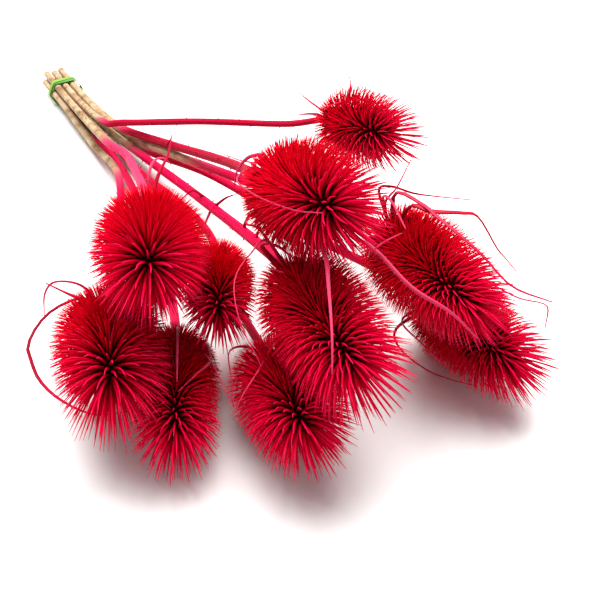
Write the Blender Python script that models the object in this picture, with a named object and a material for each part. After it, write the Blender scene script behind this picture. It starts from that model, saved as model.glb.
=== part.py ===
"""A bunch of ten dyed teasel heads, lying down, with a rubber band round the cut stems.

Millimetres in the tables, metres in the scene. The stems run along Y: the band is at the +Y end, the heads at
the -Y end, and the bunch rests on the plane z = 0. Each head is one solid: an egg-shaped core that its spines
are raised from, with the long thin bracts of its base joined to it.
"""
import math

import bmesh
import bpy
import numpy as np
from mathutils import Matrix, Vector

MM = 0.001
GAP = 0.3 * MM
MERGE = 0.01 * MM

# Core of a head: sides round it, rings along it, where its last ring is, and the sine curve of its outline
SIDES = 8
RINGS = 9
LAST_RING = 0.93
OUTLINE_START = 0.08
OUTLINE_SPAN = 0.9
OUTLINE_SKEW = 0.8

# Spines: size of a root, lean at the base, how much shorter the lowest are, and from where the last ones grow
SPINE_ROOT = 1.05 * MM
WIDEST_ROOT = 0.55
SPINE_SPREAD = math.radians(108)
SPREAD_CURVE = 0.62
LOWEST_SPINE = 0.75
TIP_START = 0.6
TIP_CURVE = 1.2

# Room that spines keep: to stems and bracts, and within what share of two heads' reach a wall parts them
SPINE_ROOM = 0.9 * MM
SHORTEST_SPINE = 0.08
SPINE_SAMPLES = 14
AXIS_SAMPLES = 41
WALL_RANGE = 1.6

# Bracts under a head
BRACT_HALF_WIDTH = 1.15 * MM
BRACT_HALF_DEPTH = 0.55 * MM
LEAST_SECTIONS = 6
SECTIONS_A_PLACE = 2
BRACT_TAPER = 0.55
BRACT_ROOT = 2.5 * MM
BRACT_ROOT_OUT = 0.35
BRACT_REST = 0.9 * MM

# The short bracts that every head has: turns round the head, and places along (mm), onward turn, and out (share
# of the reach that such a bract has)
SHORT_BRACT_TURNS = (75, 195, 315)
SHORT_BRACT_REACH = 0.55
SHORT_BRACT = [(1.5, 0, 0.8), (7.5, 6, 1.0), (17, 14, 1.17)]

# Stems in the band: rows of slots from the bottom up
STEM_RADIUS = 2.2 * MM
STEM_NECK = 5 * MM
STEM_BEVEL = 2
STEM_POINTS = 14
SLOT_PITCH = 4.9 * MM
ROW_RISE = 4.2 * MM

# Rubber band, wound twice
BAND_WIDTH = 3.0 * MM
BAND_THICKNESS = 1.3 * MM
BAND_CLEARANCE = 0.35 * MM
BAND_SLANT = math.radians(9)
BAND_ARC_STEPS = 3
BAND_STEP = 0.15 * MM
FIRST_ROW_HEIGHT = STEM_RADIUS + BAND_CLEARANCE + BAND_THICKNESS

# One line for each head, in mm and degrees: its middle, where it points (heading from -Y towards +X, and rise),
# the length and radius of its core, the length of its side spines and how much the tip's are longer. Its stem has
# a radius in the band and at the neck, a length past the band, a slot (steps of pitch from the middle, row) and
# points that it passes. Bracts are lists of places round the head: how far along from its base, turned how far
# from the top towards +X, and how far out from its axis.
HEADS = {
    "head_01": dict(
        middle=(-48.9, -273, 73.3), heading=-22, rise=21, length=48, radius=10.4, spine=13, growth=0.89,
        stem=(2.2, 2.3, 21),
        slot=(-1, 2), via=[(-8.4, -97.6, 22), (-6.4, -131.2, 26)],
        bracts=[[(2, 3, 20), (-3, 7, 27), (-6, 14, 29), (-9, 22, 27), (-11, 35, 21)],
                [(1, 12, 21), (-2, 18, 31), (-4, 18, 38)]]),
    "head_02": dict(
        middle=(-72, -277.8, 36.6), heading=-19, rise=15, length=47, radius=10.7, spine=13.6, growth=0.98,
        stem=(2.2, 2.0, 19),
        slot=(-1.5, 1), via=[(-8.9, -74.9, 8), (-10.7, -119.9, 13.2), (-24.8, -160.1, 13.1)],
        bracts=[[(4, -30, 16), (8, -64, 25), (7, -95, 33), (7, -119, 36), (11, -139, 36), (16, -162, 35),
                 (21, -185, 31)],
                [(7, -20, 21), (6, -37, 29), (4, -52, 29), (2, -75, 26)],
                [(7, -29, 15), (6, -39, 23), (3, -45, 31)]]),
    "head_03": dict(
        middle=(-21.6, -271, 41.8), heading=-25, rise=10, length=41, radius=8.4, spine=8.6, growth=0.94,
        stem=(2.2, 1.8, 18),
        slot=(-0.5, 1), via=[(-1.3, -56.5, 9.2), (-1.5, -125.7, 15.9)],
        bracts=[[(5, -52, 11), (16, -48, 17), (31, -43, 20)]]),
    "head_04": dict(
        middle=(-52.9, -293.1, 18.8), heading=-24, rise=5, length=52, radius=9.5, spine=9.1, growth=1.16,
        stem=(2.2, 2.2, 20),
        slot=(-1, 0), via=[(-4.9, -56.9, 3.6), (-4.3, -100.5, 8.9), (-11.8, -157.8, 7.9)],
        bracts=[[(8, 8, 16), (26, 7, 19), (42, 7, 16)],
                [(11, 54, 15), (23, 57, 17), (35, 35, 16), (44, 9, 13)],
                [(18, 50, 15), (27, 52, 19), (38, 63, 21), (47, 77, 23)]]),
    "head_05": dict(
        middle=(-19.4, -324.1, 24.2), heading=-15, rise=18, length=48, radius=10.2, spine=12.8, growth=0.69,
        stem=(2.2, 2.0, 17),
        slot=(0, 0), via=[(3.1, -76.4, 4), (3.5, -165.9, 7.3)],
        bracts=[[(-3, -40, 13), (4, -53, 22), (19, -66, 22), (30, -84, 22)],
                [(16, -23, 14), (26, -43, 17), (32, -64, 20), (34, -80, 22)]]),
    "head_06": dict(
        middle=(-4.9, -325.7, 56.5), heading=-10, rise=7, length=57, radius=10.1, spine=13.3, growth=0.76,
        stem=(2.2, 2.7, 19),
        slot=(0.5, 1), via=[(4.2, -57, 8.6), (8.2, -104.4, 12), (10, -182.4, 25.4), (6.1, -258.1, 43.4)],
        bracts=[[(18, 1, 29), (34, -1, 31), (49, -11, 28), (65, -27, 24), (73, -49, 19)],
                [(6, -26, 28), (11, -39, 32), (18, -56, 35), (31, -70, 34), (43, -91, 29)],
                [(-11, -25, 22), (-18, -32, 25), (-22, -20, 27)],
                [(0, -33, 23), (7, -22, 25), (21, -17, 26)]]),
    "head_07": dict(
        middle=(4, -298.5, 92.3), heading=-6, rise=22, length=47, radius=10.4, spine=12.7, growth=0.79,
        stem=(2.2, 2.4, 22),
        slot=(1, 2), via=[(3.7, -57, 16.2), (6.8, -85.3, 18.9), (16.3, -134.8, 29.9), (17.5, -208.8, 55.8)],
        bracts=[[(0, -42, 14), (5, -66, 21), (22, -74, 20), (38, -78, 17), (50, -79, 14), (60, -74, 10)],
                [(4, -23, 15), (4, -34, 19), (2, -45, 20), (0, -60, 20), (-2, -75, 19)],
                [(-5, -21, 10), (-11, -43, 17), (-21, -48, 27)]]),
    "head_08": dict(
        middle=(78.6, -224.3, 64.7), heading=7, rise=13, length=35, radius=8.9, spine=11.9, growth=0.79,
        stem=(2.2, 1.6, 20),
        slot=(0, 2), via=[(-2.4, -77.2, 23.2), (5.5, -96.5, 28.3), (32.3, -141.1, 42.3),
                          (59.9, -184.5, 53.5)],
        bracts=[[(4, -59, 18), (-2, -66, 24)],
                [(4, 25, 17), (-1, 27, 24)],
                [(-4, -41, 13), (-15, -34, 19)]]),
    "head_09": dict(
        middle=(50.3, -317.5, 53.1), heading=-3, rise=5, length=57, radius=9.6, spine=13.3, growth=0.3,
        stem=(2.2, 2.5, 20),
        slot=(1.5, 1), via=[(10.2, -66.9, 11), (13.5, -110.8, 18.6), (25.6, -196.6, 39)],
        bracts=[[(15, -57, 26), (30, -58, 27), (50, -62, 26), (63, -67, 16), (68, -135, 8)],
                [(-5, -9, 21), (-3, 3, 23), (5, 17, 23), (9, 37, 25), (12, 65, 35)],
                [(10, -11, 28), (23, -3, 28), (31, 0, 26), (39, 4, 24), (49, 28, 18), (55, 88, 20),
                 (58, 107, 41)],
                [(19, -9, 26), (27, 1, 26), (32, 25, 27), (33, 42, 28), (34, 82, 29), (35, 93, 33),
                 (36, 104, 40)],
                [(8, -21, 24), (8, -6, 29), (5, 8, 38)],
                [(24, -62, 29), (29, -47, 30), (33, -34, 30)],
                [(10, -22, 29), (18, -22, 32), (35, -31, 32)]]),
    "head_10": dict(
        middle=(67.2, -328.4, 21.8), heading=-5, rise=10, length=55, radius=10, spine=11.1, growth=0.75,
        stem=(2.2, 2.2, 18),
        slot=(1, 0), via=[(8.6, -57, 4.6), (14.9, -105.4, 10.9), (25.9, -169.5, 25), (47.6, -248.3, 22.7)],
        bracts=[[(5, -100, 23), (12, -112, 27), (24, -130, 25), (33, -145, 22), (40, -162, 20)],
                [(10, -82, 23), (23, -93, 22), (40, -104, 20)],
                [(0, 28, 13), (11, 63, 21), (22, 83, 29), (27, 93, 41), (26, 110, 45)]]),
}


def clean_scene():
    for thing in list(bpy.data.objects):
        bpy.data.objects.remove(thing, do_unlink=True)


def new_collection(name):
    collection = bpy.data.collections.new(name)
    bpy.context.scene.collection.children.link(collection)
    return collection


def new_material(name, color, roughness):
    material = bpy.data.materials.new(name)
    material.use_nodes = True
    shader = material.node_tree.nodes["Principled BSDF"]
    shader.inputs["Base Color"].default_value = (*color, 1.0)
    shader.inputs["Roughness"].default_value = roughness
    shader.inputs["Metallic"].default_value = 0.0
    material.diffuse_color = (*color, 1.0)
    return material


def add_mesh(name, bm, collection, material):
    mesh = bpy.data.meshes.new(name)
    bm.to_mesh(mesh)
    bm.free()
    mesh.materials.append(material)
    thing = bpy.data.objects.new(name, mesh)
    collection.objects.link(thing)
    return thing


def smooth_route(points, start_direction, end_direction, count):
    """Count points on a smooth curve through the given ones, with the directions given at its two ends."""
    points = [Vector(point) for point in points]
    slopes = []
    for index, point in enumerate(points):
        before = points[max(index - 1, 0)]
        after = points[min(index + 1, len(points) - 1)]
        slopes.append(after - before)
    slopes = [slope * 0.5 for slope in slopes]
    slopes[0] = start_direction.normalized() * (points[1] - points[0]).length
    slopes[-1] = end_direction.normalized() * (points[-1] - points[-2]).length
    spans = len(points) - 1
    route = []
    for step in range(count):
        place = step / (count - 1) * spans
        span = min(int(place), spans - 1)
        u = place - span
        route.append(
            points[span] * (2 * u ** 3 - 3 * u ** 2 + 1)
            + slopes[span] * (u ** 3 - 2 * u ** 2 + u)
            + points[span + 1] * (3 * u ** 2 - 2 * u ** 3)
            + slopes[span + 1] * (u ** 3 - u ** 2))
    return route


class Head:
    """Where a head is, and which way it faces."""

    def __init__(self, row):
        heading = math.radians(row["heading"])
        rise = math.radians(row["rise"])
        self.axis = Vector((math.sin(heading) * math.cos(rise), -math.cos(heading) * math.cos(rise), math.sin(rise)))
        self.side = Vector((math.cos(heading), math.sin(heading), 0.0))
        self.top = self.axis.cross(self.side)
        self.length = row["length"] * MM
        self.radius = row["radius"] * MM
        self.spine = row["spine"] * MM
        self.base = Vector(row["middle"]) * MM - self.axis * self.length / 2
        self.row = row

    def place(self, along, turn, out):
        """The point that lies this far along from the base, turned from the top and out from the axis."""
        return self.base + self.axis * along + (self.top * math.cos(turn) + self.side * math.sin(turn)) * out

    def matrix(self):
        turned = Matrix((self.side, self.top, self.axis)).transposed()
        return Matrix.Translation(self.base) @ turned.to_4x4()

    def reach(self):
        return self.radius + self.spine


def core_outline(share):
    """Radius of a core at a share of its length, where 1 is its widest."""
    return math.sqrt(math.sin(math.pi * (OUTLINE_START + OUTLINE_SPAN * share) ** OUTLINE_SKEW))


def spine_angle(share):
    """How far a spine leans from the axis: back at the base, forward at the tip."""
    return SPINE_SPREAD * (1 - min(share, 1.0)) ** SPREAD_CURVE


def spine_length(head, share):
    """Length of a spine: shorter at the base, and up to twice as long at the tip."""
    low = LOWEST_SPINE + (1 - LOWEST_SPINE) * min(1.0, 3 * share)
    tip = max(0.0, (share - TIP_START) / (1 - TIP_START)) ** TIP_CURVE
    return head.spine * low * (1 + head.row["growth"] * tip)


def nearest_points(head, other):
    """The two points of the heads' axes that lie nearest each other."""
    steps = np.linspace(0.0, 1.0, AXIS_SAMPLES)[:, None]
    mine = np.array(head.base) + steps * np.array(head.axis * head.length)
    theirs = np.array(other.base) + steps * np.array(other.axis * other.length)
    apart = np.linalg.norm(mine[:, None] - theirs[None], axis=2)
    first, second = np.unravel_index(apart.argmin(), apart.shape)
    return Vector(mine[first]), Vector(theirs[second])


def walls_round(name, heads):
    """Planes that keep a head's spines on its own side of each head beside it: a point and a way out."""
    head = heads[name]
    walls = []
    for other_name, other in heads.items():
        if other_name == name:
            continue
        mine, theirs = nearest_points(head, other)
        way = theirs - mine
        room = way.length - head.radius - other.radius
        if way.length < WALL_RANGE * (head.reach() + other.reach()):
            way.normalize()
            share = head.spine / (head.spine + other.spine)
            walls.append((mine + way * (head.radius + room * share - GAP / 2), way))
    return walls


def settle(tip, walls):
    """Bends a spine's tip back behind the walls and up to the ground."""
    for point, way in walls:
        past = (tip - point).dot(way)
        if past > 0:
            tip = tip - way * past
    return Vector((tip.x, tip.y, max(tip.z, 0.0)))


def fill_in(points, radius):
    """A route as many close points, each with the radius of what follows it."""
    dense = []
    for first, second in zip(points[:-1], points[1:]):
        steps = max(2, int((second - first).length / MM))
        dense += [first.lerp(second, step / steps) for step in range(steps)]
    dense.append(points[-1])
    return np.array([[*point, radius] for point in dense])


def shorten(root, tip, fence):
    """The tip of a spine that stops short of the stems and bracts it would run into."""
    shares = np.linspace(SHORTEST_SPINE, 1.0, SPINE_SAMPLES)
    places = np.array(root) + shares[:, None] * np.array(tip - root)
    apart = np.linalg.norm(places[:, None] - fence[None, :, :3], axis=2) - fence[None, :, 3]
    blocked = np.flatnonzero(apart.min(axis=1) < SPINE_ROOM)
    if len(blocked):
        return root.lerp(tip, shares[max(blocked[0] - 1, 0)])
    return tip


def make_core(head, walls, fence):
    """An egg of triangles in a spiral net, each drawn up into a three-sided spine."""
    bm = bmesh.new()
    bmesh.ops.create_uvsphere(bm, u_segments=SIDES, v_segments=RINGS, radius=1.0)
    for vert in bm.verts:
        ring = round(math.acos(max(-1.0, min(1.0, -vert.co.z))) / math.pi * RINGS)
        turn = math.atan2(vert.co.y, vert.co.x) + ring * math.pi / SIDES
        if ring in (0, RINGS):
            share = ring / RINGS
            out = 0.0
        else:
            share = LAST_RING * (ring - 1) / (RINGS - 2)
            out = head.radius * core_outline(share)
        vert.co = (out * math.cos(turn), out * math.sin(turn), share * head.length)
    bmesh.ops.triangulate(bm, faces=bm.faces[:], quad_method="SHORT_EDGE")
    bm.normal_update()
    scales = [face for face in bm.faces if face.normal.z > -0.9]
    bmesh.ops.inset_individual(bm, faces=scales, thickness=MERGE)
    matrix = head.matrix()
    for face in scales:
        middle = face.calc_center_median()
        widest = max((vert.co - middle).length for vert in face.verts)
        for vert in face.verts:
            vert.co = middle.lerp(vert.co, min(SPINE_ROOT / widest, WIDEST_ROOT))
        share = middle.z / head.length
        angle = spine_angle(share)
        outward = Vector((middle.x, middle.y, 0.0)).normalized()
        reach = spine_length(head, share)
        tip = middle + (outward * math.sin(angle) + Vector((0, 0, 1)) * math.cos(angle)) * reach
        tip = settle(matrix @ tip, walls)
        tip = shorten(matrix @ middle, tip, fence)
        centre = bmesh.ops.poke(bm, faces=[face])["verts"][0]
        centre.co = matrix.inverted() @ tip
    bm.transform(matrix)
    return bm


def bract_routes(head):
    """Every bract of a head as a smooth route from inside its base."""
    lists = list(head.row["bracts"])
    reach = head.row["radius"] + SHORT_BRACT_REACH * head.row["spine"]
    for turn in SHORT_BRACT_TURNS:
        lists.append([(along, turn + onward, out * reach) for along, onward, out in SHORT_BRACT])
    routes = []
    for places in lists:
        turn = math.radians(places[0][1])
        points = [head.place(BRACT_ROOT, turn, BRACT_ROOT_OUT * head.radius)]
        points += [head.place(along * MM, math.radians(angle), out * MM) for along, angle, out in places]
        start = points[1] - points[0]
        end = points[-1] - points[-2]
        sections = max(LEAST_SECTIONS, SECTIONS_A_PLACE * len(places))
        route = smooth_route(points, start, end, sections + 1)
        routes.append([Vector((p.x, p.y, max(p.z, BRACT_REST))) for p in route])
    return routes


def blade_frames(route, across):
    """For each section of a blade, the ways across it and out of it, carried along the route untwisted."""
    frames = []
    for level in range(len(route) - 1):
        along = (route[level + 1] - route[max(level - 1, 0)]).normalized()
        across = (across - along * across.dot(along)).normalized()
        frames.append((across, across.cross(along)))
    return frames


def make_bract(head, route):
    """A thin three-edged blade along a route, flat towards the head and pointed at its end."""
    sections = len(route) - 1
    bm = bmesh.new()
    bmesh.ops.create_cone(bm, cap_ends=True, segments=3, radius1=1.0, radius2=0.0, depth=sections)
    bmesh.ops.translate(bm, verts=bm.verts, vec=(0, 0, sections / 2))
    for level in range(1, sections):
        everything = bm.verts[:] + bm.edges[:] + bm.faces[:]
        bmesh.ops.bisect_plane(bm, geom=everything, plane_co=(0, 0, level), plane_no=(0, 0, 1))
    frames = blade_frames(route, head.axis.cross(route[1] - route[0]))
    for vert in bm.verts:
        level = round(vert.co.z)
        if level == sections:
            vert.co = route[level]
            continue
        across, outward = frames[level]
        turn = math.atan2(vert.co.y, vert.co.x)
        half_width = BRACT_HALF_WIDTH * (1 - BRACT_TAPER * level / sections)
        wide = across * (math.sin(turn) * half_width)
        deep = outward * (math.cos(turn) * BRACT_HALF_DEPTH)
        vert.co = route[level] + wide + deep
    bmesh.ops.triangulate(bm, faces=bm.faces[:])
    bmesh.ops.recalc_face_normals(bm, faces=bm.faces[:])
    return bm


def join_all(first, rest, name, collection):
    """One closed solid from a solid and those that cross it."""
    pieces = new_collection(name + "_pieces")
    for thing in rest:
        collection.objects.unlink(thing)
        pieces.objects.link(thing)
    union = first.modifiers.new("join", "BOOLEAN")
    union.operation = "UNION"
    union.operand_type = "COLLECTION"
    union.collection = pieces
    union.solver = "EXACT"
    joined = bpy.data.meshes.new_from_object(first.evaluated_get(bpy.context.evaluated_depsgraph_get()))
    first.modifiers.clear()
    first.data = joined
    first.name = name
    for thing in list(pieces.objects):
        bpy.data.objects.remove(thing, do_unlink=True)
    bpy.data.collections.remove(pieces)


def make_head(name, head, walls, fence, collection, material):
    core = add_mesh(name, make_core(head, walls, fence), collection, material)
    bracts = []
    for route in bract_routes(head):
        bracts.append(add_mesh(name + "_bract", make_bract(head, route), collection, material))
    join_all(core, bracts, name, collection)


def slot_place(slot):
    step, row = slot
    return Vector((step * SLOT_PITCH, 0.0, FIRST_ROW_HEIGHT + row * ROW_RISE))


def stem_route(head):
    """From the cut end through its slot in the band to just under its head."""
    slot = slot_place(head.row["slot"])
    backward = Vector((0, 1, 0))
    neck = head.base - head.axis * STEM_NECK
    points = [slot] + [Vector(point) * MM for point in head.row["via"]] + [neck]
    route = smooth_route(points, -backward, head.axis, STEM_POINTS)
    stub = head.row["stem"][2] * MM
    return [slot + backward * stub] + route + [head.base - head.axis * GAP]


def make_stem(name, head, route, collection, material):
    first, last = (radius * MM for radius in head.row["stem"][:2])
    curve = bpy.data.curves.new(name, "CURVE")
    curve.dimensions = "3D"
    curve.bevel_depth = first
    curve.bevel_resolution = STEM_BEVEL
    curve.use_fill_caps = True
    spline = curve.splines.new("POLY")
    spline.points.add(len(route) - 1)
    for index, (point, place) in enumerate(zip(spline.points, route)):
        share = index / (len(route) - 1)
        point.co = (*place, 1.0)
        point.radius = 1 + share * (last / first - 1)
    curve.materials.append(material)
    thing = bpy.data.objects.new(name, curve)
    collection.objects.link(thing)
    return thing


def band_outline(offset):
    """The outline of the stems in the band, grown by an offset: arcs round the six outer stems."""
    corners = [slot_place(slot) for slot in ((1, 0), (1.5, 1), (1, 2), (-1, 2), (-1.5, 1), (-1, 0))]
    outline = []
    for index, corner in enumerate(corners):
        before = corner - corners[index - 1]
        after = corners[(index + 1) % len(corners)] - corner
        first = math.atan2(-before.x, before.z)
        last = math.atan2(-after.x, after.z)
        sweep = (last - first) % (2 * math.pi)
        for step in range(BAND_ARC_STEPS):
            angle = first + sweep * step / (BAND_ARC_STEPS - 1)
            outline.append((corner.x + offset * math.cos(angle), corner.z + offset * math.sin(angle)))
    return outline


def make_turn(name, slant, inset, collection, material):
    """One turn of the band: a flat ring, stood upright and slanted along the stems."""
    curve = bpy.data.curves.new(name, "CURVE")
    curve.dimensions = "2D"
    curve.fill_mode = "BOTH"
    curve.extrude = BAND_WIDTH / 2
    inner = STEM_RADIUS + BAND_CLEARANCE
    for offset in (inner + inset, inner + BAND_THICKNESS - inset):
        outline = band_outline(offset)
        spline = curve.splines.new("POLY")
        spline.points.add(len(outline) - 1)
        spline.use_cyclic_u = True
        for point, (x, z) in zip(spline.points, outline):
            point.co = (x, z, 0.0, 1.0)
    flat = bpy.data.objects.new(name, curve)
    collection.objects.link(flat)
    mesh = bpy.data.meshes.new_from_object(flat.evaluated_get(bpy.context.evaluated_depsgraph_get()))
    bpy.data.objects.remove(flat, do_unlink=True)
    bm = bmesh.new()
    bm.from_mesh(mesh)
    bmesh.ops.remove_doubles(bm, verts=bm.verts, dist=MERGE)
    for vert in bm.verts:
        x, z, y = vert.co
        vert.co = (x, y + x * math.tan(slant), z)
    bmesh.ops.recalc_face_normals(bm, faces=bm.faces[:])
    return add_mesh(name, bm, collection, material)


def make_band(collection, material):
    turn = make_turn("tie", BAND_SLANT, 0.0, collection, material)
    second = make_turn("tie_second", -BAND_SLANT, BAND_STEP, collection, material)
    join_all(turn, [second], "tie", collection)


def centre_on_origin(things):
    """Moves everything so that the middle of its box stands on the origin."""
    bpy.context.view_layer.update()
    corners = [thing.matrix_world @ Vector(corner) for thing in things for corner in thing.bound_box]
    middle_x = (min(c.x for c in corners) + max(c.x for c in corners)) / 2
    middle_y = (min(c.y for c in corners) + max(c.y for c in corners)) / 2
    for thing in things:
        thing.location = (-middle_x, -middle_y, 0.0)


def main():
    clean_scene()
    bunch = new_collection("teasel_bunch")
    dyed = new_material("dyed_teasel", (0.42, 0.004, 0.03), 0.55)
    straw = new_material("stem", (0.5, 0.08, 0.1), 0.6)
    rubber = new_material("green_rubber", (0.12, 0.42, 0.1), 0.5)
    heads = {name: Head(row) for name, row in HEADS.items()}
    routes = {name: stem_route(head) for name, head in heads.items()}
    stems = [fill_in(routes[name], max(head.row["stem"][:2]) * MM) for name, head in heads.items()]
    bracts = [fill_in(route, BRACT_HALF_WIDTH) for head in heads.values() for route in bract_routes(head)]
    fence = np.concatenate(stems + bracts)
    for name, head in heads.items():
        make_head(name, head, walls_round(name, heads), fence, bunch, dyed)
        make_stem(name.replace("head", "stem"), head, routes[name], bunch, straw)
    make_band(bunch, rubber)
    centre_on_origin(list(bunch.objects))


main()
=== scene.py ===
"""Looks of the teasel bunch: fine spines, long bracts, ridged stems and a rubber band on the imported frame."""

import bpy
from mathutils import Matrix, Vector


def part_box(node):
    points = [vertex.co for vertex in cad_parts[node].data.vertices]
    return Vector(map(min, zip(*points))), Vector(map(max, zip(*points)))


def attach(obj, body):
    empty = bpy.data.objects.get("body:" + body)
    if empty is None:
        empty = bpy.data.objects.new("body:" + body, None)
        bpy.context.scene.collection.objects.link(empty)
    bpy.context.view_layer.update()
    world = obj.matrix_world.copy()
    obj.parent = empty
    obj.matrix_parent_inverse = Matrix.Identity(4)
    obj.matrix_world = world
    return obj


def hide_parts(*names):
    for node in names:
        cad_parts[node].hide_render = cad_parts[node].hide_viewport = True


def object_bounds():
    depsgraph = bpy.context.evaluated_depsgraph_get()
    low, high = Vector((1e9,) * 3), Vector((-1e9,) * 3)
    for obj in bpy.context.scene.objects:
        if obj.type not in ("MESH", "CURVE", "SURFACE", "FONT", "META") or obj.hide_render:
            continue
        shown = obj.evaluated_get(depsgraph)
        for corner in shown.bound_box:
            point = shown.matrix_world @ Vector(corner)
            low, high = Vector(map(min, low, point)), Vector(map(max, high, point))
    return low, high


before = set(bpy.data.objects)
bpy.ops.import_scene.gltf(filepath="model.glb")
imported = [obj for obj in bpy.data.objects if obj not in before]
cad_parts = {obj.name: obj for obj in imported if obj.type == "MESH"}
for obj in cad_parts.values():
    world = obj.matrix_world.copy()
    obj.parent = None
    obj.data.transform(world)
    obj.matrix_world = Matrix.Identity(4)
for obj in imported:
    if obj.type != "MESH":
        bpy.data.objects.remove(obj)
CAD_BOX = [list(corner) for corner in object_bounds()]

import math

import bpy
import numpy as np
from mathutils import Vector

# Lengths and places are in millimetres, apart from those of the light and the floor
MM = 0.001
TINY = 1e-9
SEED = 7
GOLDEN_TURN = math.pi * (3 - math.sqrt(5))

# Outline of a head's core, as in the solids
OUTLINE_START = 0.08
OUTLINE_SPAN = 0.9
OUTLINE_SKEW = 0.8
CORE_ROUND = 48
CORE_RINGS = 40

# Low bumps of the core: their height, how many lie round it, and how they turn and come and go along it
BUMP_HEIGHT = 0.25
BUMPS_ROUND = 13
BUMP_TWIST = 60
BUMP_WAVES = 90

# How many spines a full-sized head has, and how close they stand at its side, at its tip and where it is open,
# and how much sooner shade is painted between its spines there
SPINES = 1350
FULL_AREA = 3000.0
SIDE_DENSITY = 2.3
TIP_DENSITY = 0.85
DENSITY_FADES_FROM = 0.3
DENSITY_FADES_OVER = 0.5
OPEN_THINS = 0.35
# Painted shade: how much sooner the colours darken between the spines of an open head
OPEN_PAINTED_SHADE = 0.6
OUTLINE_STEPS = 400
TIP_STEPS = 20
BARE_TIP = 0.7

# One spine: where along it its rings are, its half width there, how deep it is rooted and the root's least
# distance from the axis, and how much stouter the tip's spines are
SPINE_LEVELS = (0.0, 0.15, 0.4, 0.7, 1.0)
SPINE_HALF_WIDTHS = (0.36, 0.30, 0.25, 0.18, 0.04)
SPINE_SIDES = 3
SPINE_SINK = 0.8
LEAST_ROOT = 0.3
TIP_STOUTER = 1.0
SIDE_NUDGE = 1e-3

# How spines lean (at the tip, more at the base), how they curl (less at the tip) and how long they are
LEAN_AT_TIP = math.radians(16)
LEAN_MORE = math.radians(92)
LEAN_CURVE = 0.62
CURL = math.radians(46)
CURL_AT_TIP = 0.35
CURL_LESS_OVER = 0.35
LOWEST_SPINE = 0.75
LOW_GROWTH = 3
TIP_START = 0.6
TIP_CURVE = 1.2
TIP_MORE = 1.12
LONGEST = 1.06

# How unlike each other the spines of a head are
TURN_SPREAD = 0.012
LEAN_SPREAD = 0.03
ASIDE_SPREAD = 0.035
CURL_SPREAD = 0.15
WIDTH_SPREAD = 0.08
LENGTH_SPREAD = 0.08
TIP_LENGTH_SPREAD = 0.06

# How far spines may pass the plane between two heads, how near another head has to be to have such a plane,
# the room kept round a stem's middle, inside the solids' box and over the ground, and the least share of its
# length that a spine keeps
INTERLOCK = 7.5
WALL_RANGE = 1.6
AXIS_STEPS = 41
STEM_ROOM = 3.0
BOX_ROOM = 0.3
GROUND_ROOM = 0.15
SHORTEST_SHARE = 0.1

# Bracts: long thin blades that ripple a little and taper
BRACT_DEPTH = 0.6
BRACT_ROOT = 2.5
BRACT_ROOT_OUT = 0.35
BRACT_LEVELS = 26
BRACT_SIDES = 8
BRACT_ROOM = 0.8
BRACT_TAPER = 0.7
BRACT_RIPPLE = 0.12
BRACT_RIPPLES = 9
RIPPLE_START = 6

# The three shortest bracts of each head: where each is turned to, how far they reach, and their places, along
# from the base, turned on, and out as a share of that reach
SHORT_BRACT_WIDTH = 1.5
SHORT_BRACT_PALENESS = 0.4
SHORT_BRACT_TURNS = (75, 195, 315)
SHORT_BRACT_REACH = 0.55
SHORT_BRACT = [(1.5, 0, 0.8), (7.5, 6, 1.0), (17, 14, 1.17)]

# The rubber band: its room round the stems, as in the solids, and its thin sheet, wound twice. The turns part
# outwards and sideways, and the corners are the slots of the outermost stems
BAND_CLEARANCE = 0.35
BAND_THICKNESS = 1.3
BAND_WIDTH = 3.0
BAND_SHEET = 0.55
BAND_TURNS = 2
BAND_STEPS = 192
BAND_SIDES = 12
BAND_ROUNDING = 0.5
BAND_RISE = 0.36
BAND_SPREAD = 1.5
BAND_CORNERS = ((1, 0), (1.5, 1), (1, 2), (-1, 2), (-1.5, 1), (-1, 0))

# Stems: their slots in the band, their gap to the head, and their ridged skin
STEM_RADIUS = 2.2
STEM_NECK = 5
GAP = 0.3
SLOT_PITCH = 4.9
ROW_RISE = 4.2
FIRST_ROW = STEM_RADIUS + BAND_CLEARANCE + BAND_THICKNESS
STEM_ROUND = 32
STEM_RINGS = 110
STEM_STEPS = 240
STEM_TWIST = 0.5
STEM_TWIST_SPREAD = 0.5
RIDGES = 8
RIDGE_DEPTH = 0.05
SWELLS = 40
SWELL_HEIGHT = 0.015
CUT_HOLLOW = 0.6
CUT_TINT = (0.0, 0.5, 0.0)

# Prickles of the stems: the rings that have them, their sizes, and how far their middle and tip hook back
PRICKLES = 34
PRICKLE_RINGS = (STEM_RINGS // 4, STEM_RINGS - 3)
PRICKLE_LENGTHS = (0.7, 1.5)
PRICKLE_HALF_WIDTHS = (0.45, 0.22, 0.03)
PRICKLE_SINK = 0.3
PRICKLE_HOOKS = (0.1, 0.4)
PRICKLE_SIDES = 4

# Thin side shoots of two stems: their places and the width at the root
TWIGS = {
    "stalk_06": [
        ([(10, -190, 29), (7, -186, 32), (4, -184, 30), (-1, -183, 25)], 1.5),
        ([(9, -203, 31), (14, -207, 37), (18, -212, 41)], 1.6),
        ([(7, -238, 38), (9, -238, 44), (11, -240, 48), (13, -242, 51)], 1.8),
        ([(6, -252, 42), (8, -252, 48), (9, -252, 50)], 1.1),
        ([(9, -200, 28), (4, -204, 25), (1, -206, 22)], 1.5)],
    "stalk_07": [([(13, -138, 32), (15, -140, 36), (17, -139, 40)], 1.2)],
}
TWIG_RINGS = 12
TWIG_SIDES = 8
TWIG_TAPER = 0.85
TWIG_TAPER_CURVE = 1.5
TWIG_SKIN = 0.1
TWIG_ACROSS = (0.2, 0.1, 1.0)

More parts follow.
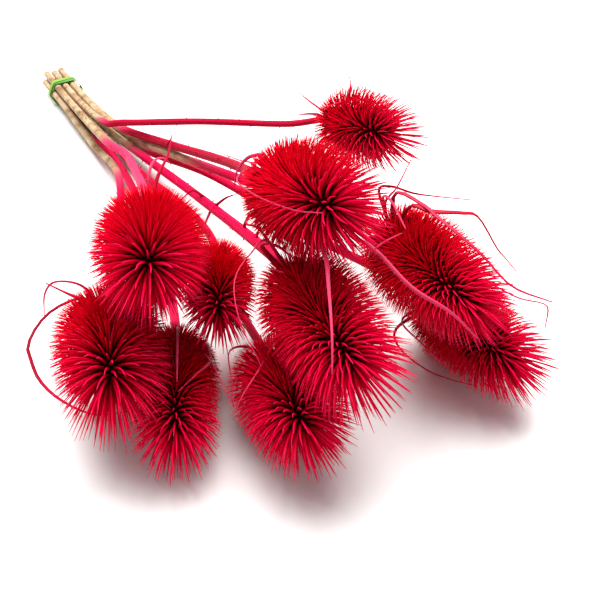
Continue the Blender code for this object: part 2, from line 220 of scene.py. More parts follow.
# The photograph's camera, in the table's millimetres, for a frame of 600 x 600
CAMERA = Vector((-133.1, -525.8, 266.2))
CAMERA_HEADING = math.radians(30.6)
CAMERA_DOWN = math.radians(40)
CAMERA_NEAREST = 10
FOCAL_PIXELS = 864
FRAME_PIXELS = 600
SENSOR_WIDTH = 36.0

# The light and the floor, in metres
KEY_PLACE = (0.12, 0.25, 1.23)
KEY_TARGET = (0.0, -0.08, 0.03)
KEY_SIZE = 1.4
KEY_POWER = 46.5
KEY_COLOUR = (1.0, 0.99, 0.97)
SKY_COLOUR = (0.86, 0.97, 1.0, 1.0)
SKY_STRENGTH = 0.36
FLOOR_SIZE = 6.0
FLOOR_COLOUR = (0.93, 0.93, 0.93, 1.0)

# Numbers of the sockets of a node that mixes colours
MIX_INPUTS = (0, 6, 7)
MIX_OUTPUT = 2
NOISE_DETAIL = 3.0

# The same places as in the solids: each head's middle, heading, rise, core length and radius, length of its
# side spines and how much the tip's are longer; its stem's radius in the band and at the neck, length past the
# band, slot and points that it passes; and its bracts as lists of places (along from the base, turned from the
# top, out from the axis). Beside them are the looks: where along it the stem turns red and how fast (shares),
# how bright its skin is, how open the head's spines stand, which also sets how soon shade is painted between
# them, most for heads that lie in the shade of others, and each bract's width and paleness.
HEADS = {
    "head_01": dict(
        middle=(-48.9, -273, 73.3), heading=-22, rise=21, length=48, radius=10.4, spine=13, growth=0.89,
        stem=(2.2, 2.3, 21), dye=(0.40, 0.08), skin=1.0, open=0.1,
        slot=(-1, 2), via=[(-8.4, -97.6, 22), (-6.4, -131.2, 26)],
        bracts=[[(2, 3, 20), (-3, 7, 27), (-6, 14, 29), (-9, 22, 27), (-11, 35, 21)],
                [(1, 12, 21), (-2, 18, 31), (-4, 18, 38)]],
        blades=[(1.3, 0.6), (1.5, 0.1)]),
    "head_02": dict(
        middle=(-72, -277.8, 36.6), heading=-19, rise=15, length=47, radius=10.7, spine=13.6, growth=0.98,
        stem=(2.2, 2.0, 19), dye=(0.46, 0.10), skin=0.7, open=0.4,
        slot=(-1.5, 1), via=[(-8.9, -74.9, 8), (-10.7, -119.9, 13.2), (-24.8, -160.1, 13.1)],
        bracts=[[(4, -30, 16), (8, -64, 25), (7, -95, 33), (7, -119, 36), (11, -139, 36), (16, -162, 35),
                 (21, -185, 31)],
                [(7, -20, 21), (6, -37, 29), (4, -52, 29), (2, -75, 26)],
                [(7, -29, 15), (6, -39, 23), (3, -45, 31)]],
        blades=[(1.8, 0.2), (1.3, 0.4), (1.9, 0.1)]),
    "head_03": dict(
        middle=(-21.6, -271, 41.8), heading=-25, rise=10, length=41, radius=8.4, spine=8.6, growth=0.94,
        stem=(2.2, 1.8, 18), dye=(0.36, 0.12), skin=0.3, open=0.0,
        slot=(-0.5, 1), via=[(-1.3, -56.5, 9.2), (-1.5, -125.7, 15.9)],
        bracts=[[(5, -52, 11), (16, -48, 17), (31, -43, 20)]],
        blades=[(1.2, 0.6)]),
    "head_04": dict(
        middle=(-52.9, -293.1, 18.8), heading=-24, rise=5, length=52, radius=9.5, spine=9.1, growth=1.16,
        stem=(2.2, 2.2, 20), dye=(0.25, 0.05), skin=0.8, open=0.2,
        slot=(-1, 0), via=[(-4.9, -56.9, 3.6), (-4.3, -100.5, 8.9), (-11.8, -157.8, 7.9)],
        bracts=[[(8, 8, 16), (26, 7, 19), (42, 7, 16)],
                [(11, 54, 15), (23, 57, 17), (35, 35, 16), (44, 9, 13)],
                [(18, 50, 15), (27, 52, 19), (38, 63, 21), (47, 77, 23)]],
        blades=[(1.4, 0.8), (1.3, 0.5), (1.4, 0.5)]),
    "head_05": dict(
        middle=(-19.4, -324.1, 24.2), heading=-15, rise=18, length=48, radius=10.2, spine=12.8, growth=0.69,
        stem=(2.2, 2.0, 17), dye=(0.36, 0.12), skin=0.2, open=0.9,
        slot=(0, 0), via=[(3.1, -76.4, 4), (3.5, -165.9, 7.3)],
        bracts=[[(-3, -40, 13), (4, -53, 22), (19, -66, 22), (30, -84, 22)],
                [(16, -23, 14), (26, -43, 17), (32, -64, 20), (34, -80, 22)]],
        blades=[(1.4, 0.5), (1.3, 0.5)]),
    "head_06": dict(
        middle=(-4.9, -325.7, 56.5), heading=-10, rise=7, length=57, radius=10.1, spine=13.3, growth=0.76,
        stem=(2.2, 2.7, 19), dye=(0.33, 0.10), skin=0.7, open=0.7,
        slot=(0.5, 1), via=[(4.2, -57, 8.6), (8.2, -104.4, 12), (10, -182.4, 25.4), (6.1, -258.1, 43.4)],
        bracts=[[(18, 1, 29), (34, -1, 31), (49, -11, 28), (65, -27, 24), (73, -49, 19)],
                [(6, -26, 28), (11, -39, 32), (18, -56, 35), (31, -70, 34), (43, -91, 29)],
                [(-11, -25, 22), (-18, -32, 25), (-22, -20, 27)],
                [(0, -33, 23), (7, -22, 25), (21, -17, 26)]],
        blades=[(1.7, 0.6), (1.4, 0.5), (1.3, 0.2), (2.4, 0.0)]),
    "head_07": dict(
        middle=(4, -298.5, 92.3), heading=-6, rise=22, length=47, radius=10.4, spine=12.7, growth=0.79,
        stem=(2.2, 2.4, 22), dye=(0.32, 0.06), skin=0.15, open=0.15,
        slot=(1, 2), via=[(3.7, -57, 16.2), (6.8, -85.3, 18.9), (16.3, -134.8, 29.9), (17.5, -208.8, 55.8)],
        bracts=[[(0, -42, 14), (5, -66, 21), (22, -74, 20), (38, -78, 17), (50, -79, 14), (60, -74, 10)],
                [(4, -23, 15), (4, -34, 19), (2, -45, 20), (0, -60, 20), (-2, -75, 19)],
                [(-5, -21, 10), (-11, -43, 17), (-21, -48, 27)]],
        blades=[(1.2, 0.9), (1.6, 0.8), (0.9, 0.5)]),
    "head_08": dict(
        middle=(78.6, -224.3, 64.7), heading=7, rise=13, length=35, radius=8.9, spine=11.9, growth=0.79,
        stem=(2.2, 1.6, 20), dye=(0.36, 0.08), skin=0.35, open=0.7,
        slot=(0, 2), via=[(-2.4, -77.2, 23.2), (5.5, -96.5, 28.3), (32.3, -141.1, 42.3),
                          (59.9, -184.5, 53.5)],
        bracts=[[(4, -59, 18), (-2, -66, 24)],
                [(4, 25, 17), (-1, 27, 24)],
                [(-4, -41, 13), (-15, -34, 19)]],
        blades=[(1.5, 0.6), (1.2, 0.2), (1.2, 0.2)]),
    "head_09": dict(
        middle=(50.3, -317.5, 53.1), heading=-3, rise=5, length=57, radius=9.6, spine=13.3, growth=0.3,
        stem=(2.2, 2.5, 20), dye=(0.52, 0.16), skin=0.55, open=0.25,
        slot=(1.5, 1), via=[(10.2, -66.9, 11), (13.5, -110.8, 18.6), (25.6, -196.6, 39)],
        bracts=[[(15, -57, 26), (30, -58, 27), (50, -62, 26), (63, -67, 16), (68, -135, 8)],
                [(-5, -9, 21), (-3, 3, 23), (5, 17, 23), (9, 37, 25), (12, 65, 35)],
                [(10, -11, 28), (23, -3, 28), (31, 0, 26), (39, 4, 24), (49, 28, 18), (55, 88, 20),
                 (58, 107, 41)],
                [(19, -9, 26), (27, 1, 26), (32, 25, 27), (33, 42, 28), (34, 82, 29), (35, 93, 33),
                 (36, 104, 40)],
                [(8, -21, 24), (8, -6, 29), (5, 8, 38)],
                [(24, -62, 29), (29, -47, 30), (33, -34, 30)],
                [(10, -22, 29), (18, -22, 32), (35, -31, 32)]],
        blades=[(2.1, 0.7), (1.6, 0.1), (2.1, 0.3), (2.4, 0.0), (1.6, 0.2), (1.5, 0.4), (1.5, 0.4)]),
    "head_10": dict(
        middle=(67.2, -328.4, 21.8), heading=-5, rise=10, length=55, radius=10, spine=11.1, growth=0.75,
        stem=(2.2, 2.2, 18), dye=(0.34, 0.08), skin=0.5, open=0.5,
        slot=(1, 0), via=[(8.6, -57, 4.6), (14.9, -105.4, 10.9), (25.9, -169.5, 25), (47.6, -248.3, 22.7)],
        bracts=[[(5, -100, 23), (12, -112, 27), (24, -130, 25), (33, -145, 22), (40, -162, 20)],
                [(10, -82, 23), (23, -93, 22), (40, -104, 20)],
                [(0, 28, 13), (11, 63, 21), (22, 83, 29), (27, 93, 41), (26, 110, 45)]],
        blades=[(2.0, 0.2), (1.5, 0.1), (1.5, 0.5)]),
}

# How far the table's places are moved to come into the solids' frame, in metres, and the corners of the box
# that everything stays in, in millimetres from the table's origin
tie_low, tie_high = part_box("tie")
SHIFT = np.array([(tie_low[0] + tie_high[0]) / 2, (tie_low[1] + tie_high[1]) / 2, 0.0])
BOX_LOW = (np.array(CAD_BOX[0]) - SHIFT) / MM + np.array([BOX_ROOM, BOX_ROOM, 0.0])
BOX_HIGH = (np.array(CAD_BOX[1]) - SHIFT) / MM - BOX_ROOM


def unit(vectors):
    """Vectors of length one, along the last axis."""
    return vectors / np.maximum(np.linalg.norm(vectors, axis=-1, keepdims=True), TINY)


def circle(count):
    """Angles set evenly round a full turn."""
    return 2 * np.pi * np.arange(count) / count


class Head:
    """Where a head is, which way it faces, and its row of the table, in millimetres."""

    def __init__(self, row):
        heading = math.radians(row["heading"])
        rise = math.radians(row["rise"])
        flat = math.cos(rise)
        self.axis = np.array([math.sin(heading) * flat, -math.cos(heading) * flat, math.sin(rise)])
        self.side = np.array([math.cos(heading), math.sin(heading), 0.0])
        self.top = np.cross(self.axis, self.side)
        self.length = row["length"]
        self.radius = row["radius"]
        self.spine = row["spine"]
        self.base = np.array(row["middle"], float) - self.axis * self.length / 2
        self.row = row

    def place(self, along, turn, out):
        """A place along the head from its base, turned from its top, and out from its axis."""
        return self.base + self.axis * along + (self.top * math.cos(turn) + self.side * math.sin(turn)) * out

    def reach(self):
        """How far its side spines come from its axis."""
        return self.radius + self.spine

    def painted_shade_share(self, share):
        """Share of the length as the colours take it, for the shade painted between the spines: it comes sooner
        on a head whose spines stand loose and which lies in shade.
        """
        return 1 - (1 - share) * (1 - OPEN_PAINTED_SHADE * self.row["open"])


def smooth_route(points, start_direction, end_direction, count):
    """Count points on a smooth curve through the given ones, with the directions given at its two ends."""
    points = np.array(points, float)
    slopes = np.empty_like(points)
    slopes[1:-1] = (points[2:] - points[:-2]) / 2
    slopes[0] = unit(np.array(start_direction, float)) * np.linalg.norm(points[1] - points[0])
    slopes[-1] = unit(np.array(end_direction, float)) * np.linalg.norm(points[-1] - points[-2])
    place = np.linspace(0, len(points) - 1, count)
    span = np.minimum(place.astype(int), len(points) - 2)
    u = (place - span)[:, None]
    return (points[span] * (2 * u ** 3 - 3 * u ** 2 + 1) + slopes[span] * (u ** 3 - 2 * u ** 2 + u)
            + points[span + 1] * (3 * u ** 2 - 2 * u ** 3) + slopes[span + 1] * (u ** 3 - u ** 2))


def core_outline(share):
    """Radius of a core at a share of its length, where 1 is its widest."""
    return np.sqrt(np.sin(np.pi * (OUTLINE_START + OUTLINE_SPAN * share) ** OUTLINE_SKEW))


def tinted(shape, *values):
    """The colour of each point in an array of this shape: up to three values, and nothing for the rest."""
    tints = np.zeros((*shape, 3))
    for channel, value in enumerate(values):
        tints[..., channel] = value
    return tints


class Shape:
    """Collects vertices, faces and a colour for each vertex, and makes one mesh object of them."""

    def __init__(self):
        self.points = []
        self.tints = []
        self.quads = []
        self.triangles = []
        self.count = 0

    def add(self, points, tints, quads, triangles=None):
        """Takes more points with their colours, and faces that count from the first of them."""
        self.points.append(points)
        self.tints.append(tints)
        self.quads.append(quads + self.count)
        if triangles is not None:
            self.triangles.append(triangles + self.count)
        self.count += len(points)

    def build(self, name, material):
        """The object, in metres and in the solids' frame."""
        points = np.concatenate(self.points) * MM + SHIFT
        faces = []
        for group in self.quads + self.triangles:
            faces += group.tolist()
        mesh = bpy.data.meshes.new(name)
        mesh.from_pydata(points.tolist(), [], faces)
        colours = np.ones((len(points), 4), dtype=np.float32)
        colours[:, :3] = np.concatenate(self.tints)
        layer = mesh.color_attributes.new("tint", "FLOAT_COLOR", "POINT")
        layer.data.foreach_set("color", colours.ravel())
        mesh.materials.append(material)
        mesh.shade_smooth()
        thing = bpy.data.objects.new(name, mesh)
        bpy.context.scene.collection.objects.link(thing)
        return thing


def tube_faces(rings, sides, mirrored=False):
    """Quads of a tube of rings, and the triangles that close it at two more points, its ends' middles."""
    index = np.arange(rings * sides).reshape(rings, sides)
    after = np.roll(index, -1, axis=1)
    quads = [index[:-1], after[:-1], after[1:], index[1:]]
    low = [np.full(sides, rings * sides), after[0], index[0]]
    high = [np.full(sides, rings * sides + 1), index[-1], after[-1]]
    if mirrored:
        quads, low, high = [[face[0]] + face[:0:-1] for face in (quads, low, high)]
    caps = np.concatenate([np.stack(low, axis=-1), np.stack(high, axis=-1)])
    return np.stack(quads, axis=-1).reshape(-1, 4), caps


def sweep(shape, centres, across, outward, widths, depths, sides, tints):
    """Adds tapering tubes along many routes at once: centres is routes x levels x 3, and the rest matches."""
    routes, levels, _ = centres.shape
    turns = circle(sides)
    ring = (across[:, :, None] * (np.sin(turns)[None, None, :, None] * widths[:, :, None, None])
            + outward[:, :, None] * (np.cos(turns)[None, None, :, None] * depths[:, :, None, None]))
    points = centres[:, :, None] + ring
    index = np.arange(routes * levels * sides).reshape(routes, levels, sides)
    after = np.roll(index, -1, axis=2)
    quads = np.stack([index[:, :-1], after[:, :-1], after[:, 1:], index[:, 1:]], axis=-1).reshape(-1, 4)
    caps = []
    for side in range(1, sides - 1):
        caps.append(np.stack([index[:, 0, 0], index[:, 0, side + 1], index[:, 0, side]], axis=-1))
        caps.append(np.stack([index[:, -1, 0], index[:, -1, side], index[:, -1, side + 1]], axis=-1))
    spread = np.repeat(tints[:, :, None, :], sides, axis=2).reshape(-1, 3)
    shape.add(points.reshape(-1, 3), spread, quads, np.concatenate(caps))


def sweep_one(shape, route, across, outward, widths, depths, sides, tints):
    """Adds one tapering tube along a route."""
    rows = [row[None] for row in (route, across, outward, widths, depths)]
    sweep(shape, *rows, sides, tints[None])


def walls_round(name, heads):
    """Planes between a head and its neighbours, which its spines may pass only a little."""
    head = heads[name]
    steps = np.linspace(0, 1, AXIS_STEPS)[:, None]
    mine = head.base + steps * head.axis * head.length
    walls = []
    for other_name, other in heads.items():
        if other_name == name:
            continue
        theirs = other.base + steps * other.axis * other.length
        apart = np.linalg.norm(mine[:, None] - theirs[None], axis=2)
        first, second = np.unravel_index(apart.argmin(), apart.shape)
        distance = apart[first, second]
        if distance < WALL_RANGE * (head.reach() + other.reach()):
            way = (theirs[second] - mine[first]) / distance
            room = distance - head.radius - other.radius
            share = head.spine / (head.spine + other.spine)
            walls.append((mine[first] + way * (head.radius + room * share), way))
    return walls


def settle(points, walls, overlap):
    """Presses points back behind the walls, letting them go a little past, and up to the ground."""
    for place, way in walls:
        past = (points - place) @ way
        points = points - np.maximum(past - overlap, 0)[..., None] * way
    points[..., 2] = np.maximum(points[..., 2], GROUND_ROOM)
    return points


def clear_of(points, lines, radius):
    """Pushes points out of the round things whose middles are these lines."""
    flat = points.reshape(-1, 3)
    for line in lines:
        low = line.min(axis=0) - 2 * radius
        high = line.max(axis=0) + 2 * radius
        near = np.flatnonzero(((flat > low) & (flat < high)).all(axis=1))
        if not len(near):
            continue
        gap = flat[near][:, None] - line[None]
        apart = np.linalg.norm(gap, axis=2)
        closest = apart.argmin(axis=1)
        distance = apart[np.arange(len(near)), closest]
        inside = distance < radius
        way = unit(gap[np.arange(len(near)), closest][inside])
        flat[near[inside]] = line[closest[inside]] + way * radius
    return flat.reshape(points.shape)


def fit_box(routes, low, high):
    """Shortens each route towards its root until it lies inside the solids' box."""
    root = routes[:, :1]
    way = routes - root
    over = np.where(way > 0, (high - root) / np.maximum(way, TINY), (low - root) / np.minimum(way, -TINY))
    share = np.clip(over.min(axis=(1, 2)), SHORTEST_SHARE, 1.0)
    return root + way * share[:, None, None]


def spine_roots(head):
    """Where the spines of a head stand: share of its length, the core's radius, and 1, less on its end."""
    grid = np.linspace(0, 1, OUTLINE_STEPS)
    outline = core_outline(grid) * head.radius
    along = np.concatenate([grid * head.length, np.full(TIP_STEPS, head.length)])
    radii = np.concatenate([outline, np.linspace(outline[-1], BARE_TIP, TIP_STEPS)])
    pace = np.hypot(np.diff(along), np.diff(radii))
    fading = np.clip((along[1:] / head.length - DENSITY_FADES_FROM) / DENSITY_FADES_OVER, 0, 1)
    beside = SIDE_DENSITY * (1 - OPEN_THINS * head.row["open"])
    dense = beside + (TIP_DENSITY - beside) * fading
    total = np.concatenate([[0], np.cumsum((radii[1:] + radii[:-1]) / 2 * pace * dense)])
    count = int(SPINES * total[-1] * 2 * np.pi / FULL_AREA)
    steps = np.arange(len(along))
    spot = np.interp((np.arange(count) + 0.5) / count * total[-1], total, steps)
    radius = np.interp(spot, steps, radii)
    return np.interp(spot, steps, along) / head.length, radius, np.minimum(radius / outline[-1], 1)


def grow_spines(shape, head, walls, stems, rng):
    """The spines of a head: set on a golden spiral, curling towards its tip, longest round the tip."""
    share, radius, inner = spine_roots(head)
    count = len(share)
    tipward = np.maximum(0, (share - TIP_START) / (1 - TIP_START))
    turn = np.arange(count) * GOLDEN_TURN + rng.normal(0, TURN_SPREAD, count)
    lean = LEAN_AT_TIP * inner + LEAN_MORE * (1 - share) ** LEAN_CURVE + rng.normal(0, LEAN_SPREAD, count)
    growth = LOWEST_SPINE + (1 - LOWEST_SPINE) * np.minimum(1, LOW_GROWTH * share)
    growth *= 1 + TIP_MORE * head.row["growth"] * tipward ** TIP_CURVE
    uneven = LENGTH_SPREAD + TIP_LENGTH_SPREAD * tipward
    reach = head.spine * growth * (LONGEST - uneven * np.abs(rng.normal(0, 1.0, count))) + SPINE_SINK
    out = np.cos(turn)[:, None] * head.top + np.sin(turn)[:, None] * head.side
    round_way = -np.sin(turn)[:, None] * head.top + np.cos(turn)[:, None] * head.side
    out_way = unit(out + rng.normal(0, ASIDE_SPREAD, count)[:, None] * round_way)
    sunk = np.maximum(radius - SPINE_SINK, LEAST_ROOT)
    height = share * head.length - SPINE_SINK * (1 - inner)
    centres = [head.base + height[:, None] * head.axis + out * sunk[:, None]]
    curl = CURL * (CURL_AT_TIP + (1 - CURL_AT_TIP) * np.minimum(1, (1 - share) / CURL_LESS_OVER))
    curl = curl * rng.normal(1, CURL_SPREAD, count)
    levels = np.array(SPINE_LEVELS)
    for before, after in zip(levels[:-1], levels[1:]):
        angle = lean + curl * (0.5 - (before + after) / 2)
        step = (after - before) * reach
        way = np.cos(angle)[:, None] * head.axis + np.sin(angle)[:, None] * out_way
        centres.append(centres[-1] + step[:, None] * way)
    centres = fit_box(np.stack(centres, axis=1), BOX_LOW, BOX_HIGH)
    moved = clear_of(settle(centres.copy(), walls, INTERLOCK), stems, STEM_ROOM)
    centres[:, 2:] = moved[:, 2:]
    ahead = unit(np.gradient(centres, axis=1))
    across = unit(np.cross(ahead, out[:, None]) + SIDE_NUDGE * round_way[:, None])
    outward = np.cross(across, ahead)
    stout = rng.normal(1, WIDTH_SPREAD, count) * (1 + TIP_STOUTER * tipward)
    widths = np.array(SPINE_HALF_WIDTHS) * stout[:, None]
    # Each point's colour: along the spine, a tone by chance, and the share that sets the painted shade between
    # the spines
    tints = tinted((count, len(levels)), levels, rng.random(count)[:, None], head.painted_shade_share(share)[:, None])
    sweep(shape, centres, across, outward, widths, widths, SPINE_SIDES, tints)


def grow_core(shape, head):
    """The egg that the spines stand on, with low bumps."""
    share = np.linspace(0, 1, CORE_RINGS)
    turn = circle(CORE_ROUND)
    bumps = BUMP_HEIGHT * np.sin(turn * BUMPS_ROUND + share[:, None] * BUMP_TWIST)
    out = (core_outline(share) * head.radius)[:, None] + bumps * np.sin(share[:, None] * BUMP_WAVES)
    way = np.cos(turn)[:, None] * head.top + np.sin(turn)[:, None] * head.side
    points = head.base + share[:, None, None] * head.axis * head.length + out[..., None] * way
    ends = np.array([head.base, head.base + head.axis * head.length])
    shares = np.concatenate([np.repeat(share, CORE_ROUND), [0.0, 1.0]])
    # The same share sets the painted shade on the core between the spines
    tints = tinted(shares.shape, 0.0, 0.0, head.painted_shade_share(shares))
    quads, caps = tube_faces(CORE_RINGS, CORE_ROUND, mirrored=True)
    shape.add(np.concatenate([points.reshape(-1, 3), ends]), tints, quads, caps)


def bract_routes(head):
    """Every bract of a head as a smooth route from inside its base."""
    lists = list(head.row["bracts"])
    reach = head.radius + SHORT_BRACT_REACH * head.spine
    for turn in SHORT_BRACT_TURNS:
        lists.append([(along, turn + onward, out * reach) for along, onward, out in SHORT_BRACT])
    routes = []
    for places in lists:
        points = [head.place(BRACT_ROOT, math.radians(places[0][1]), BRACT_ROOT_OUT * head.radius)]
        points += [head.place(along, math.radians(angle), out) for along, angle, out in places]
        route = smooth_route(points, points[1] - points[0], points[-1] - points[-2], BRACT_LEVELS)
        routes.append(np.clip(route, BOX_LOW + BRACT_ROOM, BOX_HIGH - BRACT_ROOM))
    return routes


def carried_frames(route, across):
    """For each point of a route, the ways across it and out of it, carried along without twist."""
    along = unit(np.gradient(route, axis=0))
    ways = []
    for way in along:
        across = unit(across - way * (across @ way))
        ways.append(across)
    ways = np.array(ways)
    return ways, np.cross(ways, along)


def grow_bracts(shape, head, rng):
    """The bracts of a head, each with its width and paleness, and the short ones with theirs by chance."""
    blades = list(head.row["blades"])
    while len(blades) < len(head.row["bracts"]) + len(SHORT_BRACT_TURNS):
        blades.append((SHORT_BRACT_WIDTH, SHORT_BRACT_PALENESS * rng.random()))
    share = np.linspace(0, 1, BRACT_LEVELS)
    for route, (width, paleness) in zip(bract_routes(head), blades):
        across, outward = carried_frames(route, np.cross(head.axis, route[1] - route[0]))
        ripple = 1 + BRACT_RIPPLE * np.sin(share * BRACT_RIPPLES + RIPPLE_START * rng.random())
        widths = width / 2 * (1 - BRACT_TAPER * share ** 2) * ripple
        depths = BRACT_DEPTH * width / 2 * (1 - BRACT_TAPER * share)
        tints = tinted((BRACT_LEVELS,), share, paleness)
        sweep_one(shape, route, across, outward, widths, depths, BRACT_SIDES, tints)


def slot_place(slot):
    """The middle of a stem in the band, from its slot's place in the row and its row."""
    return np.array([slot[0] * SLOT_PITCH, 0.0, FIRST_ROW + slot[1] * ROW_RISE])


def stem_route(head, count):
    """From the cut end through its slot in the band to just under its head."""
    slot = slot_place(head.row["slot"])
    backward = np.array([0.0, 1.0, 0.0])
    points = [slot] + list(head.row["via"]) + [head.base - head.axis * STEM_NECK]
    route = smooth_route(points, -backward, head.axis, count)
    start = slot + backward * head.row["stem"][2]
    end = head.base - head.axis * GAP
    route = np.concatenate([[start, (start + slot) / 2], route, [(route[-1] + end) / 2, end]])
    length = np.concatenate([[0], np.cumsum(np.linalg.norm(np.diff(route, axis=0), axis=1))])
    even = np.linspace(0, length[-1], count)
    return np.stack([np.interp(even, length, route[:, axis]) for axis in range(3)], axis=-1)


def grow_stem(shape, route, across, outward, radius, tints, rng):
    """A stem's ridged skin, hollowed at the cut end, with the colour of each ring."""
    share = np.linspace(0, 1, STEM_RINGS)
    turn = circle(STEM_ROUND)
    twist = STEM_TWIST * share * rng.normal(1, STEM_TWIST_SPREAD)
    ridge = 1 - RIDGE_DEPTH + RIDGE_DEPTH * np.cos(RIDGES * (turn + twist[:, None]))
    ridge *= 1 + SWELL_HEIGHT * np.sin(share * SWELLS + rng.random() * RIPPLE_START)[:, None]
    out = radius[:, None] * ridge
    way = np.cos(turn)[:, None] * across[:, None] + np.sin(turn)[:, None] * outward[:, None]
    points = route[:, None] + out[..., None] * way
    middles = np.array([route[0] + CUT_HOLLOW * unit(route[1] - route[0]), route[-1]])
    skin = np.repeat(tints, STEM_ROUND, axis=0)
    quads, caps = tube_faces(STEM_RINGS, STEM_ROUND)
    shape.add(np.concatenate([points.reshape(-1, 3), middles]), np.concatenate([skin, [CUT_TINT, tints[-1]]]),
              quads, caps)


def grow_prickles(shape, route, across, outward, radius, tints, rng):
    """A stem's prickles, hooked back towards its cut end, in the colours of their rings."""
    rows = np.sort(rng.integers(*PRICKLE_RINGS, PRICKLES))
    turns = rng.random(PRICKLES) * 2 * np.pi
    out = np.cos(turns)[:, None] * across[rows] + np.sin(turns)[:, None] * outward[rows]
    along = unit(route[rows + 1] - route[rows])
    length = rng.uniform(*PRICKLE_LENGTHS, PRICKLES)[:, None]
    root = route[rows] + out * (radius[rows][:, None] - PRICKLE_SINK)
    middle = root + out * (PRICKLE_SINK + length / 2) - along * PRICKLE_HOOKS[0] * length
    tip = root + out * (PRICKLE_SINK + length) - along * PRICKLE_HOOKS[1] * length
    centres = np.stack([root, middle, tip], axis=1)
    ways = np.repeat(along[:, None], 3, axis=1)
    sideways = unit(np.cross(ways, out[:, None]))
    widths = np.repeat([PRICKLE_HALF_WIDTHS], PRICKLES, axis=0)
    colours = np.repeat(tints[rows, None], 3, axis=1)
    sweep(shape, centres, sideways, ways, widths, widths, PRICKLE_SIDES, colours)


def grow_twig(shape, places, width):
    """A dark curved shoot, round and pointed, through these places."""
    points = np.array(places, float)
    route = smooth_route(points, points[1] - points[0], points[-1] - points[-2], TWIG_RINGS)
    across, outward = carried_frames(route, np.array(TWIG_ACROSS))
    share = np.linspace(0, 1, TWIG_RINGS)
    widths = width / 2 * (1 - TWIG_TAPER * share ** TWIG_TAPER_CURVE)
    tints = tinted((TWIG_RINGS,), 1.0, TWIG_SKIN)
    sweep_one(shape, route, across, outward, widths, widths, TWIG_SIDES, tints)


def make_stem(name, head, material, rng):
    """A tapering stem with its prickles and side shoots, straw at the cut end and dyed towards the head."""
    route = stem_route(head, STEM_RINGS)
    across, outward = carried_frames(route, np.array([1.0, 0.0, 0.0]))
    share = np.linspace(0, 1, STEM_RINGS)
    first, last = head.row["stem"][:2]
    radius = first + (last - first) * share
    start, fade = head.row["dye"]
    tints = tinted((STEM_RINGS,), np.clip((share - start) / fade, 0, 1), head.row["skin"], share)
    shape = Shape()
    grow_stem(shape, route, across, outward, radius, tints, rng)
    grow_prickles(shape, route, across, outward, radius, tints, rng)
    for places, width in TWIGS.get(name, []):
        grow_twig(shape, places, width)
    return shape.build(name, material)


def band_place(angle, offset):
    """Where the band's middle line is at an angle round the stems, across and up: a rounded hexagon."""
    corners = np.array([slot_place(slot)[[0, 2]] for slot in BAND_CORNERS])
    centre = np.array([0.0, FIRST_ROW + ROW_RISE])
    way = np.array([math.cos(angle), math.sin(angle)])
    best = 0.0
    for corner in corners - centre:
        along = corner @ way
        aside = corner @ corner - along ** 2
        if aside < offset ** 2:
            best = max(best, along + math.sqrt(offset ** 2 - aside))
    for first, second in zip(corners - centre, np.roll(corners - centre, -1, axis=0)):
        edge = unit(second - first)
        normal = np.array([edge[1], -edge[0]])
        facing = normal @ way
        if facing > TINY:
            distance = (first @ normal + offset) / facing
            along = (way * distance - first) @ edge
            if 0 <= along <= np.linalg.norm(second - first):
                best = max(best, distance)
    return centre + best * way


def make_band(material):
    """A flat rubber band wound twice: its turns cross on one side and spread on the other."""
    angles = np.linspace(0, 2 * np.pi * BAND_TURNS, BAND_STEPS, endpoint=False)
    middle = []
    for angle in angles:
        rise = BAND_RISE * math.sin(angle / BAND_TURNS)
        across, up = band_place(angle, STEM_RADIUS + BAND_CLEARANCE + BAND_THICKNESS / 2 + rise)
        middle.append([across, BAND_SPREAD * math.cos(angle / BAND_TURNS), up])
    route = np.array(middle)
    along = unit(np.roll(route, -1, axis=0) - np.roll(route, 1, axis=0))
    wide = unit(np.array([0.0, 1.0, 0.0]) - along * along[:, 1:2])
    out = np.cross(along, wide)
    sections = []
    for turn in circle(BAND_SIDES):
        level, lift = math.cos(turn), math.sin(turn)
        sections.append(route + wide * (BAND_WIDTH / 2 * np.sign(level) * abs(level) ** BAND_ROUNDING)
                        + out * (BAND_SHEET / 2 * np.sign(lift) * abs(lift) ** BAND_ROUNDING))
    points = np.stack(sections, axis=1)
    points[..., 2] = np.maximum(points[..., 2], 0.0)
    index = np.arange(BAND_STEPS * BAND_SIDES).reshape(BAND_STEPS, BAND_SIDES)
    onward = np.roll(index, -1, axis=0)
    quads = np.stack([index, onward, np.roll(onward, -1, axis=1), np.roll(index, -1, axis=1)], axis=-1)
    # Painted light: the outer turn is made lighter than the inner, as where light shines through the rubber
    tints = tinted(index.shape, (0.5 + 0.5 * np.sin(angles / BAND_TURNS))[:, None])
    shape = Shape()
    shape.add(points.reshape(-1, 3), tints.reshape(-1, 3), quads.reshape(-1, 4))
    return shape.build("rubber_band", material)


